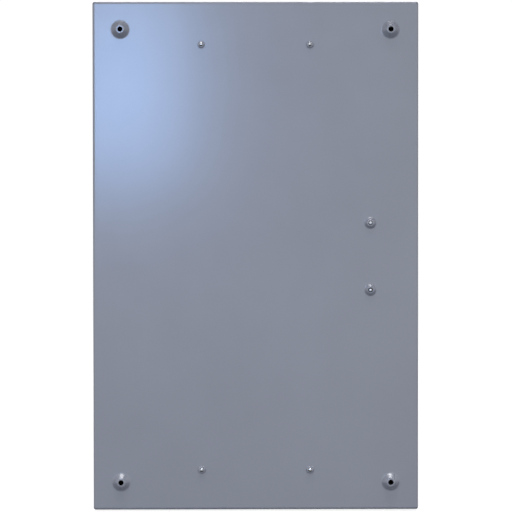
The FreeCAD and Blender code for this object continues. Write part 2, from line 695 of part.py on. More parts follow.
def main_case():
    """Two-pole moulded case: raised centre with the handle slot, lug pockets on top, load end below."""
    body = block(-MAIN_HALF_W, MAIN_HALF_W, MAIN_REAR_Y, MAIN_BODY_Y, MAIN_BOTTOM, MAIN_TOP)
    body = rounded(body, 2.0, Y_AXIS)
    centre = block(-MAIN_HALF_W + 2, MAIN_HALF_W - 2, MAIN_BODY_Y + 2, SHOULDER_Y,
                   MAIN_BOTTOM + 20, MAIN_NOSE_TOP - 2)
    centre = rounded(centre, 3.0, X_AXIS, lambda middle: middle.y < SHOULDER_Y + 1)
    nose = block(-MAIN_NOSE_W, MAIN_NOSE_W, SHOULDER_Y + 4, NOSE_Y, MAIN_NOSE_BOTTOM, MAIN_NOSE_TOP - 6)
    nose = rounded(nose, 2.0, Y_AXIS)
    solid = joined(body, centre, nose)
    cuts = []
    for sx in (-1, 1):
        x = sx * LUG_X
        pocket = LUG_HALF_W + 0.6
        cuts.append(block(x - pocket, x + pocket, LUG_BACK_Y + 0.8, SHOULDER_Y - 2, LUG_Z0 - 2, MAIN_TOP + 1))
        cuts.append(block(sx * (BAR_X - 7), sx * (BAR_X + 7), MAIN_REAR_Y + 1, RISER_TIP_Y - 1.5,
                          RISER_Z - 2.1, RISER_Z + 2.1))
        cuts.append(rod(3.2, V(sx * 30, MAIN_BODY_Y + 6, MAIN_BOTTOM + 12), Y_AXIS * -1, 12))
    bar_x = BAR_X + BAR_W / 2 + 1
    cuts.append(block(-bar_x, bar_x, MAIN_REAR_Y + 1, BAR_Y - BAR_T - 0.5, MAIN_BOTTOM - 1, BAR_TOP + 1))
    cuts.append(rod(MAIN_HUB_R + 0.6, V(-MAIN_SLOT, MAIN_HANDLE_Y, MAIN_HANDLE_Z), X_AXIS, MAIN_SLOT * 2))
    cuts.append(block(-MAIN_SLOT, MAIN_SLOT, MAIN_HANDLE_Y, NOSE_Y - 1,
                      MAIN_HANDLE_Z - 11, MAIN_HANDLE_Z + 11))
    cuts.append(block(-0.5, 0.5, -85, NOSE_Y - 1, MAIN_NOSE_BOTTOM - 1, MAIN_HANDLE_Z - 14))
    return without(solid, *cuts)


def main_handle():
    """Wide lever that throws up and down; at rest it is tilted down, off."""
    half = MAIN_SLOT - 0.5
    tip_y = MAIN_HANDLE_Y - MAIN_HANDLE_R
    hub = rod(MAIN_HUB_R, V(-half, MAIN_HANDLE_Y, MAIN_HANDLE_Z), X_AXIS, half * 2)
    lever = block(-half, half, MAIN_HANDLE_Y, tip_y, MAIN_HANDLE_Z - 3.6, MAIN_HANDLE_Z + 3.6)
    lever = rounded(lever, 1.6, X_AXIS, lambda middle: middle.y < tip_y + 5)
    solid = joined(hub, lever)
    solid.rotate(V(0, MAIN_HANDLE_Y, MAIN_HANDLE_Z), X_AXIS, MAIN_TILT)
    return solid


def line_lugs():
    """Two aluminium line lugs that take the service wires from above."""
    return [lug_block(x, LUG_Y, LUG_Z0, LUG_Z1, LUG_R, LUG_HALF_W, LUG_BACK_Y, LUG_FRONT_Y, LINE_SCREW_R)
            for x in (-LUG_X, LUG_X)]


def line_lug_screws():
    """Wire-binding screws, standing proud of the lugs and clear of their bores."""
    seat_y = LUG_FRONT_Y - 2.0
    reach = LUG_Y - LUG_R - seat_y - 0.5
    z = (LUG_Z0 + LUG_Z1) / 2
    return [screw(V(sx * LUG_X, seat_y, z), Y_AXIS, 5.6, 2.6, LINE_SCREW_R, reach, 1.8) for sx in (-1, 1)]


# ---------------------------------------------------------------- branch breakers

def branch_case(first_row, poles):
    """Right-hand branch breaker case over one or two spaces, with a notch and jaw slot in each pole."""
    z1 = ROW_TOP - first_row * PITCH - BREAKER_GAP / 2
    z0 = z1 - poles * PITCH + BREAKER_GAP
    body = block(BREAKER_IN, BREAKER_OUT, BREAKER_REAR_Y, STEP_Y, z0, z1)
    body = rounded(body, 1.5, Z_AXIS)
    top = block(BREAKER_IN + 4, STEP_X, STEP_Y + 3, SHOULDER_Y, z0, z1)
    top = rounded(top, 2.0, Z_AXIS, lambda middle: middle.y < SHOULDER_Y + 1)
    nose = block(NOSE_IN, NOSE_OUT, SHOULDER_Y + 3, NOSE_Y, z0, z1)
    nose = rounded(nose, 1.2, Z_AXIS, lambda middle: middle.y < NOSE_Y + 1)
    solid = joined(body, top, nose)
    cuts = []
    slot = HANDLE_HALF_W + 0.4
    for pole in range(poles):
        z = row_z(first_row + pole)
        cuts.append(block(0, STAB_HALF + 2.5, BREAKER_REAR_Y + 1, STAB_TIP_Y - 1.5, z - 2.4, z + 2.4))
        cuts.append(block(77.2, BREAKER_OUT + 1, -44.2, -47.2, z - 9, z + 9))
        cuts.append(rod(3.0, V(BREAKER_OUT + 1, WIRE_Y, z), X_AXIS * -1, 12))
        cuts.append(rod(TERMINAL_WELL_R, V(TERMINAL_X, STEP_Y - 1, z), Y_AXIS, 4.0))
        cuts.append(rod(BRANCH_SCREW_R + THREAD_GAP, V(TERMINAL_X, STEP_Y - 1, z), Y_AXIS, 9.5))
        cuts.append(rod(HUB_R + 0.5, V(HANDLE_X, HANDLE_Y, z - slot), Z_AXIS, slot * 2))
        cuts.append(block(HANDLE_X - 9.5, HANDLE_X + 9.5, HANDLE_Y, NOSE_Y - 1, z - slot, z + slot))
    if poles == 2:
        middle = row_z(first_row) - PITCH / 2
        cuts.append(block(HANDLE_X - 9.5, HANDLE_X + 9.5, HANDLE_Y - 3.4, NOSE_Y - 1, middle - 9, middle + 9))
        for x0, x1 in ((BREAKER_IN - 1, NOSE_IN - 1), (NOSE_OUT + 1, STEP_X + 1)):
            cuts.append(block(x0, x1, SHOULDER_Y + 0.5, SHOULDER_Y - 1, middle - 0.3, middle + 0.3))
    return without(solid, *cuts)


def branch_handle(first_row, poles):
    """Lever that throws towards the centre line; at rest it is tilted outwards, off."""
    pieces = []
    for pole in range(poles):
        z = row_z(first_row + pole)
        hub = rod(HUB_R, V(HANDLE_X, HANDLE_Y, z - HANDLE_HALF_W), Z_AXIS, HANDLE_HALF_W * 2)
        lever = block(HANDLE_X - HANDLE_HALF_T, HANDLE_X + HANDLE_HALF_T, HANDLE_Y, HANDLE_Y - HANDLE_R,
                      z - HANDLE_HALF_W, z + HANDLE_HALF_W)
        lever = rounded(lever, 1.2, Z_AXIS, lambda middle: middle.y < HANDLE_Y - 5)
        pieces.append(joined(hub, lever))
    if poles == 2:
        middle = row_z(first_row) - PITCH / 2
        tie = block(HANDLE_X - HANDLE_HALF_T, HANDLE_X + HANDLE_HALF_T, HANDLE_Y - 7.5, HANDLE_Y - HANDLE_R,
                    middle - 10, middle + 10)
        pieces.append(rounded(tie, 1.2, Z_AXIS, lambda at: at.y < HANDLE_Y - 10))
    solid = joined(*pieces)
    solid.rotate(V(HANDLE_X, HANDLE_Y, 0), Z_AXIS, HANDLE_TILT)
    return solid


def branch_jaws(first_row, poles):
    """Spring fingers on each side of a stab."""
    pieces = []
    for pole in range(poles):
        z = row_z(first_row + pole)
        for sz in (-1, 1):
            near = z + sz * (STAB_T / 2 + 0.1)
            pieces.append(block(4.5, STAB_HALF + 2.2, -42, STAB_TIP_Y - 1.4, near, near + sz * 0.8))
    return pieces


def branch_terminals(first_row, poles):
    """Load terminal screws in their wells."""
    seats = [V(TERMINAL_X, STEP_Y + 2.8, row_z(first_row + pole)) for pole in range(poles)]
    return [screw(seat, Y_AXIS, 3.9, 2.2, BRANCH_SCREW_R, 5.2, 1.0) for seat in seats]


# ---------------------------------------------------------------- cover

def cover_trim():
    """Front trim: face with a wrapped rim, door opening and its jamb with an outward flange behind."""
    half_w = BOX_W / 2 + COVER_GAP + COVER_T
    half_h = BOX_H / 2 + COVER_GAP + COVER_T
    back = RIM_Y + COVER_RIM
    outer = block(-half_w, half_w, back, FACE_Y, -half_h, half_h)
    outer = rounded(outer, 3.4, Y_AXIS)
    front_edges = [e for e in outer.Edges if abs(e.BoundBox.YMax - FACE_Y) < 1e-6]
    outer = outer.makeFillet(1.8, front_edges)
    inner = block(-half_w + COVER_T, half_w - COVER_T, back + 1, RIM_Y, -half_h + COVER_T, half_h - COVER_T)
    inner = rounded(inner, 2.2, Y_AXIS)
    shell = outer.cut(inner)
    jamb_back = DEAD_FRONT_Y - COVER_T
    jamb = block(-OPEN_HALF_W - COVER_T, OPEN_HALF_W + COVER_T, RIM_Y - 0.5, jamb_back,
                 OPEN_BOTTOM - COVER_T, OPEN_TOP + COVER_T)
    flange = block(-OPEN_HALF_W - JAMB_FLANGE, OPEN_HALF_W + JAMB_FLANGE, jamb_back - COVER_T, jamb_back,
                   OPEN_BOTTOM - JAMB_FLANGE, OPEN_TOP + JAMB_FLANGE)
    opening = block(-OPEN_HALF_W, OPEN_HALF_W, FACE_Y - 1, jamb_back + 1, OPEN_BOTTOM, OPEN_TOP)
    solid = joined(shell, jamb, flange).cut(opening)
    cuts = [rod(COVER_SCREW_R + 0.4, V(x, RIM_Y + 1, z), Y_AXIS * -1, 5) for x, z in cover_screw_places()]
    cuts.append(block(OPEN_HALF_W - 1, OPEN_HALF_W + COVER_T + 1, TONGUE_Y0 - 0.6, TONGUE_Y1 + 0.6,
                      LATCH_Z - TONGUE_HALF_H - 1, LATCH_Z + TONGUE_HALF_H + 1))
    for z, along in ((OPEN_TOP, 1), (OPEN_BOTTOM, -1)):
        cuts.append(rod(PIN_R + THREAD_GAP, V(HINGE_X, HINGE_Y, z - along), Z_AXIS * along, 4))
    return without(solid, *cuts)


def dead_front():
    """Inner plate with one long window per column of branch breakers and one for the main handle."""
    plate = block(-OPEN_HALF_W - JAMB_FLANGE, OPEN_HALF_W + JAMB_FLANGE, DEAD_FRONT_Y, DEAD_FRONT_Y - COVER_T,
                  OPEN_BOTTOM - JAMB_FLANGE, OPEN_TOP + JAMB_FLANGE)
    plate = rounded(plate, 4, Y_AXIS)
    windows = [block(sx * WINDOW_IN, sx * WINDOW_OUT, DEAD_FRONT_Y + 1, DEAD_FRONT_Y - 3,
                     ROW_BOTTOM - 0.2, ROW_TOP + 0.2) for sx in (-1, 1)]
    main = block(-MAIN_NOSE_W - 0.7, MAIN_NOSE_W + 0.7, DEAD_FRONT_Y + 1, DEAD_FRONT_Y - 3,
                 MAIN_NOSE_BOTTOM - 0.7, MAIN_NOSE_TOP - 5.3)
    windows.append(rounded(main, 2.4, Y_AXIS))
    return without(plate, *windows)


def filler_plate(side, row):
    """Snap-in plate over one unused space: a face flange, a plug in the window and two snap legs."""
    z = row_z(row)
    half = PITCH / 2 - 0.15
    front_y = DEAD_FRONT_Y - COVER_T
    face = block(side * (WINDOW_IN - 2), side * (WINDOW_OUT + 2), front_y, front_y - 2.2, z - half, z + half)
    face = rounded(face, 1.0, Z_AXIS, lambda middle: middle.y < front_y - 1)
    plug = block(side * (WINDOW_IN + 0.3), side * (WINDOW_OUT - 0.3), front_y, front_y + 5.5, z - 9, z + 9)
    hollow = block(side * (WINDOW_IN + 2), side * (WINDOW_OUT - 2), front_y + 0.6, front_y + 7,
                   z - 7.4, z + 7.4)
    return joined(face, plug.cut(hollow))


def cover_screws():
    """Pan-head screws through the trim into the box flange."""
    seats = [V(x, FACE_Y, z) for x, z in cover_screw_places()]
    return [screw(seat, Y_AXIS, 4.6, 2.4, COVER_SCREW_R, 9.0, 1.3) for seat in seats]


# ---------------------------------------------------------------- door and latch

def door():
    """Flat door with four returned edges, pin holes at the left, and the latch's slots at the right."""
    outer = block(DOOR_X0, DOOR_X1, DOOR_FACE_Y, DOOR_FACE_Y + DOOR_RETURN, DOOR_Z0, DOOR_Z1)
    outer = rounded(outer, 2.0, Y_AXIS)
    front_edges = [e for e in outer.Edges if abs(e.BoundBox.YMax - DOOR_FACE_Y) < 1e-6]
    outer = outer.makeFillet(1.4, front_edges)
    inner = block(DOOR_X0 + COVER_T, DOOR_X1 - COVER_T, DOOR_FACE_Y + COVER_T, 0,
                  DOOR_Z0 + COVER_T, DOOR_Z1 - COVER_T)
    shell = outer.cut(inner)
    cuts = []
    for z, along in ((DOOR_Z1 - 3, 1), (DOOR_Z0 + 3, -1)):
        cuts.append(rod(PIN_R + THREAD_GAP, V(HINGE_X, HINGE_Y, z), Z_AXIS * along, 6))
    cuts.append(block(LATCH_X - 0.4, LATCH_X + BUTTON_W + LATCH_TRAVEL + 0.4,
                      DOOR_FACE_Y - 1, DOOR_FACE_Y + COVER_T + 1,
                      LATCH_Z - BUTTON_HALF_H - 0.3, LATCH_Z + BUTTON_HALF_H + 0.3))
    cuts.append(block(DOOR_X1 - 3, DOOR_X1 + 1, TONGUE_Y0 - 0.4, TONGUE_Y1 + 0.4,
                      LATCH_Z - TONGUE_HALF_H - 0.4, LATCH_Z + TONGUE_HALF_H + 0.4))
    return without(shell, *cuts)


def hinge_pins():
    """Two pins with domed inner ends, through the jamb's ends into the door's end returns."""
    pins = []
    for z_door, z_jamb, along in ((DOOR_Z1, OPEN_TOP, 1), (DOOR_Z0, OPEN_BOTTOM, -1)):
        foot = V(HINGE_X, HINGE_Y, z_door - along * 5)
        outward = Z_AXIS * along
        pin = rod(PIN_R, foot, outward, abs(z_jamb + along * (COVER_T + 1.5) - foot.z))
        dome = [e for e in pin.Edges if e.CenterOfMass.isEqual(foot, 1e-6)]
        pins.append(pin.makeFillet(1.0, dome))
    return pins


def door_latch():
    """Slide latch: a ribbed thumb-piece, a plate behind the door and a tongue; at rest it is drawn back."""
    plate_y0 = DOOR_FACE_Y + COVER_T + 0.2
    plate_y1 = plate_y0 + 2.0
    button = block(LATCH_X, LATCH_X + BUTTON_W, plate_y0, DOOR_FACE_Y - 2.2,
                   LATCH_Z - BUTTON_HALF_H, LATCH_Z + BUTTON_HALF_H)
    button = rounded(button, 1.0, Z_AXIS, lambda middle: middle.y < DOOR_FACE_Y)
    plate = block(LATCH_PLATE_X0, LATCH_PLATE_X1, plate_y0, plate_y1,
                  LATCH_Z - LATCH_PLATE_HALF_H, LATCH_Z + LATCH_PLATE_HALF_H)
    drop = block(LATCH_PLATE_X1 - 3, LATCH_PLATE_X1, plate_y0, TONGUE_Y1,
                 LATCH_Z - TONGUE_HALF_H, LATCH_Z + TONGUE_HALF_H)
    tongue = block(LATCH_PLATE_X1 - 3, DOOR_X1 - 0.2, TONGUE_Y0, TONGUE_Y1,
                   LATCH_Z - TONGUE_HALF_H, LATCH_Z + TONGUE_HALF_H)
    ribs = []
    for n in range(4):
        x = LATCH_X + 2.6 + n * 2.2
        ribs.append(block(x - 0.4, x + 0.4, DOOR_FACE_Y - 3, DOOR_FACE_Y - 1.6, LATCH_Z - 5.4, LATCH_Z + 5.4))
    return without(joined(button, plate, drop, tongue), *ribs)


def latch_guide():
    """Strap welded behind the door, over the latch's plate."""
    skin = DOOR_FACE_Y + COVER_T
    strap_y = skin + 2.5
    x0 = LATCH_X - 2
    x1 = LATCH_X + 7
    leg = LATCH_PLATE_HALF_H + 0.4
    bridge = block(x0, x1, strap_y, strap_y + GUIDE_T, LATCH_Z - leg - GUIDE_T, LATCH_Z + leg + GUIDE_T)
    pieces = []
    for sz in (-1, 1):
        near = LATCH_Z + sz * leg
        pieces.append(block(x0, x1, skin, strap_y + GUIDE_T, near, near + sz * GUIDE_T))
        pieces.append(block(x0, x1, skin, skin + GUIDE_T, near, near + sz * GUIDE_FOOT))
    return joined(bridge, *pieces)


def directory_card():
    """Circuit directory, a thin card fixed on the inside of the door."""
    skin = DOOR_FACE_Y + COVER_T
    card = block(-70, 44, skin, skin + 0.5, -110, 110)
    return rounded(card, 3, Y_AXIS)


# ---------------------------------------------------------------- fasteners of the interior

def pan_screws():
    """Thread-forming screws through the pan's feet; their tips stand out of the back."""
    seats = [V(x, INSIDE_Y - GALV, z) for x, z in pan_screw_places()]
    return [screw(seat, Y_AXIS, 4.6, 2.6, PAN_SCREW_R, GALV + SHEET + PAN_TIP_H, 1.2) for seat in seats]


def ground_mounting_screws():
    """Screws through the ground bar; their tips stand in the collars at the back."""
    screws = []
    for (x, z), tip in zip(ground_screw_places(), (GROUND_LOWER_TIP_H, GROUND_UPPER_TIP_H)):
        seat = V(x, GROUND_BACK_Y - NEUTRAL_T, z)
        length = NEUTRAL_T + GROUND_FOOT_H + SHEET + tip
        screws.append(screw(seat, Y_AXIS, 4.4, 2.6, GROUND_SCREW_R, length, 1.2))
    return screws


def bonding_screw():
    """Long screw through the right neutral bar into the pan."""
    seat = V(NEUTRAL_X, NEUTRAL_Y - NEUTRAL_T, BOND_Z)
    return screw(seat, Y_AXIS, 4.6, 2.6, BOND_R, NEUTRAL_T + 12 + GALV + 2, 1.2)


def bus_screws():
    """Screws that hold the bus bars to their insulator."""
    seats = [V(x, BAR_Y - BAR_T, z) for x, z in bus_screw_places()]
    return [screw(seat, Y_AXIS, 3.6, 2.0, BUS_SCREW_R, BAR_T + 7, 1.0) for seat in seats]


def build():
    """Writes one STEP file for every sub-part."""
    os.makedirs("parts", exist_ok=True)
    save("enclosure_box", enclosure())
    save("interior_screws", *pan_screws())
    save("interior_pan", interior_pan())
    rail = breaker_rail()
    save("breaker_rail_right", rail)
    save("breaker_rail_left", mirrored(rail))
    save("bus_insulator", bus_insulator())
    save("bus_bar_a", bus_bar(-1, 0))
    save("bus_bar_b", bus_bar(1, 1))
    save("bus_screws", *bus_screws())
    save("neutral_bar_left", neutral_bar(-1))
    save("neutral_bar_right", neutral_bar(1))
    save("neutral_strap", neutral_strap())
    save("neutral_standoffs", *neutral_standoffs())
    terminals = neutral_terminals()
    save("neutral_bar_screws", *terminal_screws(-NEUTRAL_X, NEUTRAL_Y, terminals),
         *terminal_screws(NEUTRAL_X, NEUTRAL_Y, terminals))
    save("neutral_lug", neutral_lug())
    save("neutral_lug_screw", neutral_lug_screw())
    save("bonding_screw", bonding_screw())
    save("ground_bar", ground_bar())
    save("ground_bar_screws", *terminal_screws(GROUND_X, GROUND_BACK_Y, ground_terminals()))
    save("ground_bar_mounting_screws", *ground_mounting_screws())
    save("main_breaker_case", main_case())
    save("main_breaker_handle", main_handle())
    save("line_lugs", *line_lugs())
    save("line_lug_screws", *line_lug_screws())
    jaws = []
    screws = []
    for name, side in SIDES:
        placed = mirrored if side < 0 else (lambda shape: shape)
        for number, (first_row, poles) in enumerate(BREAKERS, start=1):
            save("branch_%s_%d_case" % (name, number), placed(branch_case(first_row, poles)))
            save("branch_%s_%d_handle" % (name, number), placed(branch_handle(first_row, poles)))
            jaws += [placed(jaw) for jaw in branch_jaws(first_row, poles)]
            screws += [placed(piece) for piece in branch_terminals(first_row, poles)]
    save("branch_line_jaws", *jaws)
    save("branch_terminal_screws", *screws)
    save("filler_plates", *[filler_plate(side, row) for _, side in SIDES for row in OPEN_ROWS])
    save("cover_trim", cover_trim())
    save("dead_front", dead_front())
    save("cover_screws", *cover_screws())
    save("door", door())
    save("door_hinge_pins", *hinge_pins())
    save("door_latch", door_latch())
    save("latch_guide", latch_guide())
    save("directory_card", directory_card())


build()
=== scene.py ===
"""Studio scene of a residential load center, seen from its wall side.

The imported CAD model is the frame. This script gives every node a procedural finish, builds the threaded
screws and the printed marks that CAD leaves plain, and sets the floor, the lights and the camera.
"""

import json
import math

import bmesh
import bpy
from mathutils import Matrix, Vector


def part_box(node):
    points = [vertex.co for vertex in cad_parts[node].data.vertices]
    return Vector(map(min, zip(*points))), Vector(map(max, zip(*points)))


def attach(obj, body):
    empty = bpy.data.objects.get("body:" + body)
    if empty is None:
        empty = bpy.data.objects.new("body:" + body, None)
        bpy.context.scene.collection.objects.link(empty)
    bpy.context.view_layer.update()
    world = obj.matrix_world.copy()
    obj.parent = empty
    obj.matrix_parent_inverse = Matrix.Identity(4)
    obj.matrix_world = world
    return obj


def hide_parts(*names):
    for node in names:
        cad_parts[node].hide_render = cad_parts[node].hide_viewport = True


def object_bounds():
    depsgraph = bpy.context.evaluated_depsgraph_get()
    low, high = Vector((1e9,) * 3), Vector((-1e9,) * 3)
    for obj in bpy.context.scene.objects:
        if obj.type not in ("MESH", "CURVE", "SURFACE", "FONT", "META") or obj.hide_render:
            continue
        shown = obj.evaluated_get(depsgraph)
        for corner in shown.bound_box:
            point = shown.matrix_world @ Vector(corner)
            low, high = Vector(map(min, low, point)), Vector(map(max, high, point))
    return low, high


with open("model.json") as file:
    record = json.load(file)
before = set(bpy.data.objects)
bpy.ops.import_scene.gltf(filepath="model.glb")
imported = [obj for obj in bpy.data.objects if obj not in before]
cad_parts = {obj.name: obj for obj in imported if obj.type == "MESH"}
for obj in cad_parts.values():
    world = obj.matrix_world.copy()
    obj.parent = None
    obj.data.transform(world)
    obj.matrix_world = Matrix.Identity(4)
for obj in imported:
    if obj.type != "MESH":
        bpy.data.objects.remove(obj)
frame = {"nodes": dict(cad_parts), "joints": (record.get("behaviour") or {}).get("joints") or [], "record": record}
cad_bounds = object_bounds()
nodes = frame["nodes"]
MM = 0.001


# ---------------------------------------------------------------- procedural surfaces

class Surface:
    """A material with one principled shader, and short calls that add procedural nodes to it."""

    def __init__(self, name, **constants):
        self.material = bpy.data.materials.new(name)
        self.material.use_nodes = True
        self.tree = self.material.node_tree
        self.shader = next(n for n in self.tree.nodes if n.type == "BSDF_PRINCIPLED")
        self.place = self.add("ShaderNodeTexCoord").outputs["Object"]
        for socket, value in constants.items():
            self.shader.inputs[socket.replace("_", " ")].default_value = value

    def add(self, kind, **settings):
        node = self.tree.nodes.new(kind)
        for key, value in settings.items():
            setattr(node, key, value)
        return node

    def link(self, source, target):
        self.tree.links.new(source, target)

    def stretched(self, scale):
        """Object coordinates with a scale of their own along each axis."""
        mapping = self.add("ShaderNodeMapping")
        mapping.inputs["Scale"].default_value = scale
        self.link(self.place, mapping.inputs["Vector"])
        return mapping.outputs["Vector"]

    def noise(self, scale, detail=3.0, rough=0.5, place=None):
        node = self.add("ShaderNodeTexNoise")
        node.inputs["Scale"].default_value = scale
        node.inputs["Detail"].default_value = detail
        node.inputs["Roughness"].default_value = rough
        self.link(place or self.place, node.inputs["Vector"])
        return node.outputs["Fac"]

    def cells(self, scale):
        """Random value of each Voronoi cell, from 0 to 1."""
        node = self.add("ShaderNodeTexVoronoi")
        node.inputs["Scale"].default_value = scale
        self.link(self.place, node.inputs["Vector"])
        split = self.add("ShaderNodeSeparateColor")
        self.link(node.outputs["Color"], split.inputs["Color"])
        return split.outputs["Red"]

    def span(self, value, low, high, out_low=0.0, out_high=1.0):
        """Value mapped from one range to another, clamped."""
        node = self.add("ShaderNodeMapRange")
        for socket, number in zip(("From Min", "From Max", "To Min", "To Max"), (low, high, out_low, out_high)):
            node.inputs[socket].default_value = number
        self.link(value, node.inputs["Value"])
        return node.outputs["Result"]

    def times(self, a, b):
        node = self.add("ShaderNodeMath", operation="MULTIPLY")
        self.link(a, node.inputs[0])
        self.link(b, node.inputs[1])
        return node.outputs["Value"]

    def blend(self, fac, low, high):
        """Colour between two colours; either may be a socket."""
        node = self.add("ShaderNodeMix", data_type="RGBA")
        self.link(fac, node.inputs["Factor"])
        for socket, colour in ((node.inputs[6], low), (node.inputs[7], high)):
            if isinstance(colour, tuple):
                socket.default_value = (*colour, 1.0)
            else:
                self.link(colour, socket)
        return node.outputs[2]

    def worn_edges(self, radius, reach=0.06):
        """Mask that is 1 on edges sharper than the radius and 0 on faces."""
        bevel = self.add("ShaderNodeBevel", samples=4)
        bevel.inputs["Radius"].default_value = radius
        flat = self.add("ShaderNodeNewGeometry")
        dot = self.add("ShaderNodeVectorMath", operation="DOT_PRODUCT")
        self.link(bevel.outputs["Normal"], dot.inputs[0])
        self.link(flat.outputs["Normal"], dot.inputs[1])
        return self.span(dot.outputs["Value"], 1.0, 1.0 - reach)

    def colour(self, value):
        self.link(value, self.shader.inputs["Base Color"])

    def roughness(self, value, low, high):
        self.link(self.span(value, 0.3, 0.7, low, high), self.shader.inputs["Roughness"])

    def bump(self, *layers):
        """Bump from (height, strength, distance in metres) layers, one on top of another."""
        below = None
        for height, strength, distance in layers:
            node = self.add("ShaderNodeBump")
            node.inputs["Strength"].default_value = strength
            node.inputs["Distance"].default_value = distance
            self.link(height, node.inputs["Height"])
            if below:
                self.link(below, node.inputs["Normal"])
            below = node.outputs["Normal"]
        self.link(below, self.shader.inputs["Normal"])


def shade(colour, factor):
    return tuple(channel * factor for channel in colour)


def powder_coat(name, colour):
    """Semi-gloss grey powder coat: faint mottle, orange peel, and worn edges that are a little lighter."""
    s = Surface(name, Coat_Weight=1.0, Coat_Roughness=0.19, Specular_IOR_Level=0.5)
    mottle = s.noise(7.0, 4.0, 0.55)
    speck = s.noise(900.0, 2.0)
    base = s.blend(s.span(mottle, 0.35, 0.65), shade(colour, 0.97), shade(colour, 1.03))
    base = s.blend(s.span(speck, 0.42, 0.75, 0.0, 0.10), base, shade(colour, 1.25))
    wear = s.times(s.worn_edges(0.0009), s.span(s.noise(140.0, 4.0, 0.6), 0.50, 0.68, 0.0, 0.30))
    s.colour(s.blend(wear, base, BARE_STEEL))
    s.roughness(s.noise(38.0, 3.0), 0.46, 0.54)
    s.bump((s.noise(520.0, 2.0, 0.45), 0.10, 0.00006), (s.noise(60.0, 2.0), 0.05, 0.0002))
    return s.material


def galvanised(name):
    """Hot-dip galvanised sheet with a fine spangle."""
    s = Surface(name, Metallic=1.0)
    spangle = s.cells(130.0)
    smear = s.noise(24.0, 4.0)
    base = s.blend(spangle, (0.44, 0.455, 0.465), (0.62, 0.635, 0.64))
    s.colour(s.blend(s.span(smear, 0.45, 0.8, 0.0, 0.35), base, (0.35, 0.36, 0.37)))
    s.link(s.span(spangle, 0.0, 1.0, 0.30, 0.48), s.shader.inputs["Roughness"])
    s.bump((s.noise(700.0, 2.0), 0.08, 0.00005))
    return s.material


def plated(name, light, dark, smooth=0.26, rough=0.40):
    """Bright plating on small hardware, with fine turned marks and duller patches."""
    s = Surface(name, Metallic=1.0)
    patches = s.noise(420.0, 4.0, 0.6)
    s.colour(s.blend(s.span(patches, 0.35, 0.7), light, dark))
    s.roughness(s.noise(300.0, 3.0), smooth, rough)
    s.bump((s.noise(2600.0, 2.0), 0.12, 0.00003))
    return s.material


def drawn_metal(name, light, dark, along):
    """Drawn or extruded bar: long fine lines that run one way."""
    s = Surface(name, Metallic=1.0)
    lines = s.noise(1.0, 4.0, 0.6, s.stretched(along))
    cloud = s.noise(60.0, 3.0)
    base = s.blend(s.span(lines, 0.3, 0.7), light, dark)
    s.colour(s.blend(s.span(cloud, 0.5, 0.8, 0.0, 0.3), base, shade(dark, 0.8)))
    s.roughness(lines, 0.28, 0.44)
    s.bump((lines, 0.12, 0.00004))
    return s.material


def moulding(name, colour, rough_low, rough_high, grain=1800.0, clouds=0.14):
    """Moulded plastic: spark-eroded grain, faint flow clouds, and a painted sheen of handling polish, with the
    edges painted lighter.
    """
    s = Surface(name, Specular_IOR_Level=0.45)
    cloud = s.noise(45.0, 4.0, 0.6)
    base = s.blend(s.span(cloud, 0.35, 0.7), shade(colour, 1 - clouds), shade(colour, 1 + clouds))
    # Painted sheen: every edge is painted lighter, a tenth of the way at least and more in patches of handling
    # wear, to stand for the shine of polish.
    wear = s.times(s.worn_edges(0.0006), s.span(s.noise(260.0, 3.0), 0.4, 0.7, 0.1, 0.5))
    s.colour(s.blend(wear, base, tuple(channel * 1.6 + 0.02 for channel in colour)))
    s.roughness(s.noise(180.0, 3.0), rough_low, rough_high)
    s.bump((s.noise(grain, 2.0, 0.6), 0.22, 0.00006))
    return s.material


def paper(name):
    """Uncoated card with visible fibres."""
    s = Surface(name, Specular_IOR_Level=0.25)
    fibres = s.noise(1.0, 5.0, 0.7, s.stretched((900.0, 300.0, 350.0)))
    s.colour(s.blend(s.span(fibres, 0.3, 0.75), (0.80, 0.79, 0.74), (0.90, 0.90, 0.87)))
    s.roughness(fibres, 0.72, 0.86)
    s.bump((fibres, 0.15, 0.00004))
    return s.material


def ink(name, colour):
    """Pad-printed ink, a little uneven."""
    s = Surface(name, Specular_IOR_Level=0.4)
    patches = s.noise(1500.0, 3.0)
    s.colour(s.blend(s.span(patches, 0.35, 0.7), colour, shade(colour, 0.86)))
    s.roughness(patches, 0.45, 0.6)
    s.bump((patches, 0.1, 0.00002))
    return s.material


PAINT = (0.258, 0.269, 0.316)
BARE_STEEL = (0.46, 0.47, 0.48)
WHITE_INK = (0.78, 0.78, 0.76)
BLACK_INK = (0.03, 0.03, 0.035)

finishes = {
    "box_paint": powder_coat("box_paint", PAINT),
    "cover_paint": powder_coat("cover_paint", PAINT),
    "galvanised": galvanised("galvanised"),
    "zinc": plated("zinc", (0.72, 0.73, 0.75), (0.44, 0.45, 0.47), 0.17, 0.32),
    "green_screw": plated("green_screw", (0.05, 0.36, 0.12), (0.03, 0.24, 0.08), 0.3, 0.45),
    "tinned_bus": drawn_metal("tinned_bus", (0.74, 0.74, 0.72), (0.60, 0.60, 0.59), (600.0, 600.0, 6.0)),
    "terminal_aluminium": drawn_metal("terminal_aluminium", (0.76, 0.77, 0.79), (0.62, 0.63, 0.65),
                                      (900.0, 900.0, 9.0)),
    "jaw_copper": plated("jaw_copper", (0.78, 0.46, 0.30), (0.55, 0.30, 0.20)),
    "base_moulding": moulding("base_moulding", (0.030, 0.030, 0.032), 0.50, 0.62, 1400.0),
    "breaker_case": moulding("breaker_case", (0.022, 0.022, 0.024), 0.42, 0.56),
    "breaker_handle": moulding("breaker_handle", (0.028, 0.028, 0.030), 0.34, 0.46, 2600.0),
    "filler_plastic": moulding("filler_plastic", shade(PAINT, 0.9), 0.45, 0.58, clouds=0.03),
    "latch_plastic": moulding("latch_plastic", (0.028, 0.028, 0.030), 0.36, 0.48, 2400.0),
    "card": paper("card"),
}
white_ink = ink("white_ink", WHITE_INK)
black_ink = ink("black_ink", BLACK_INK)

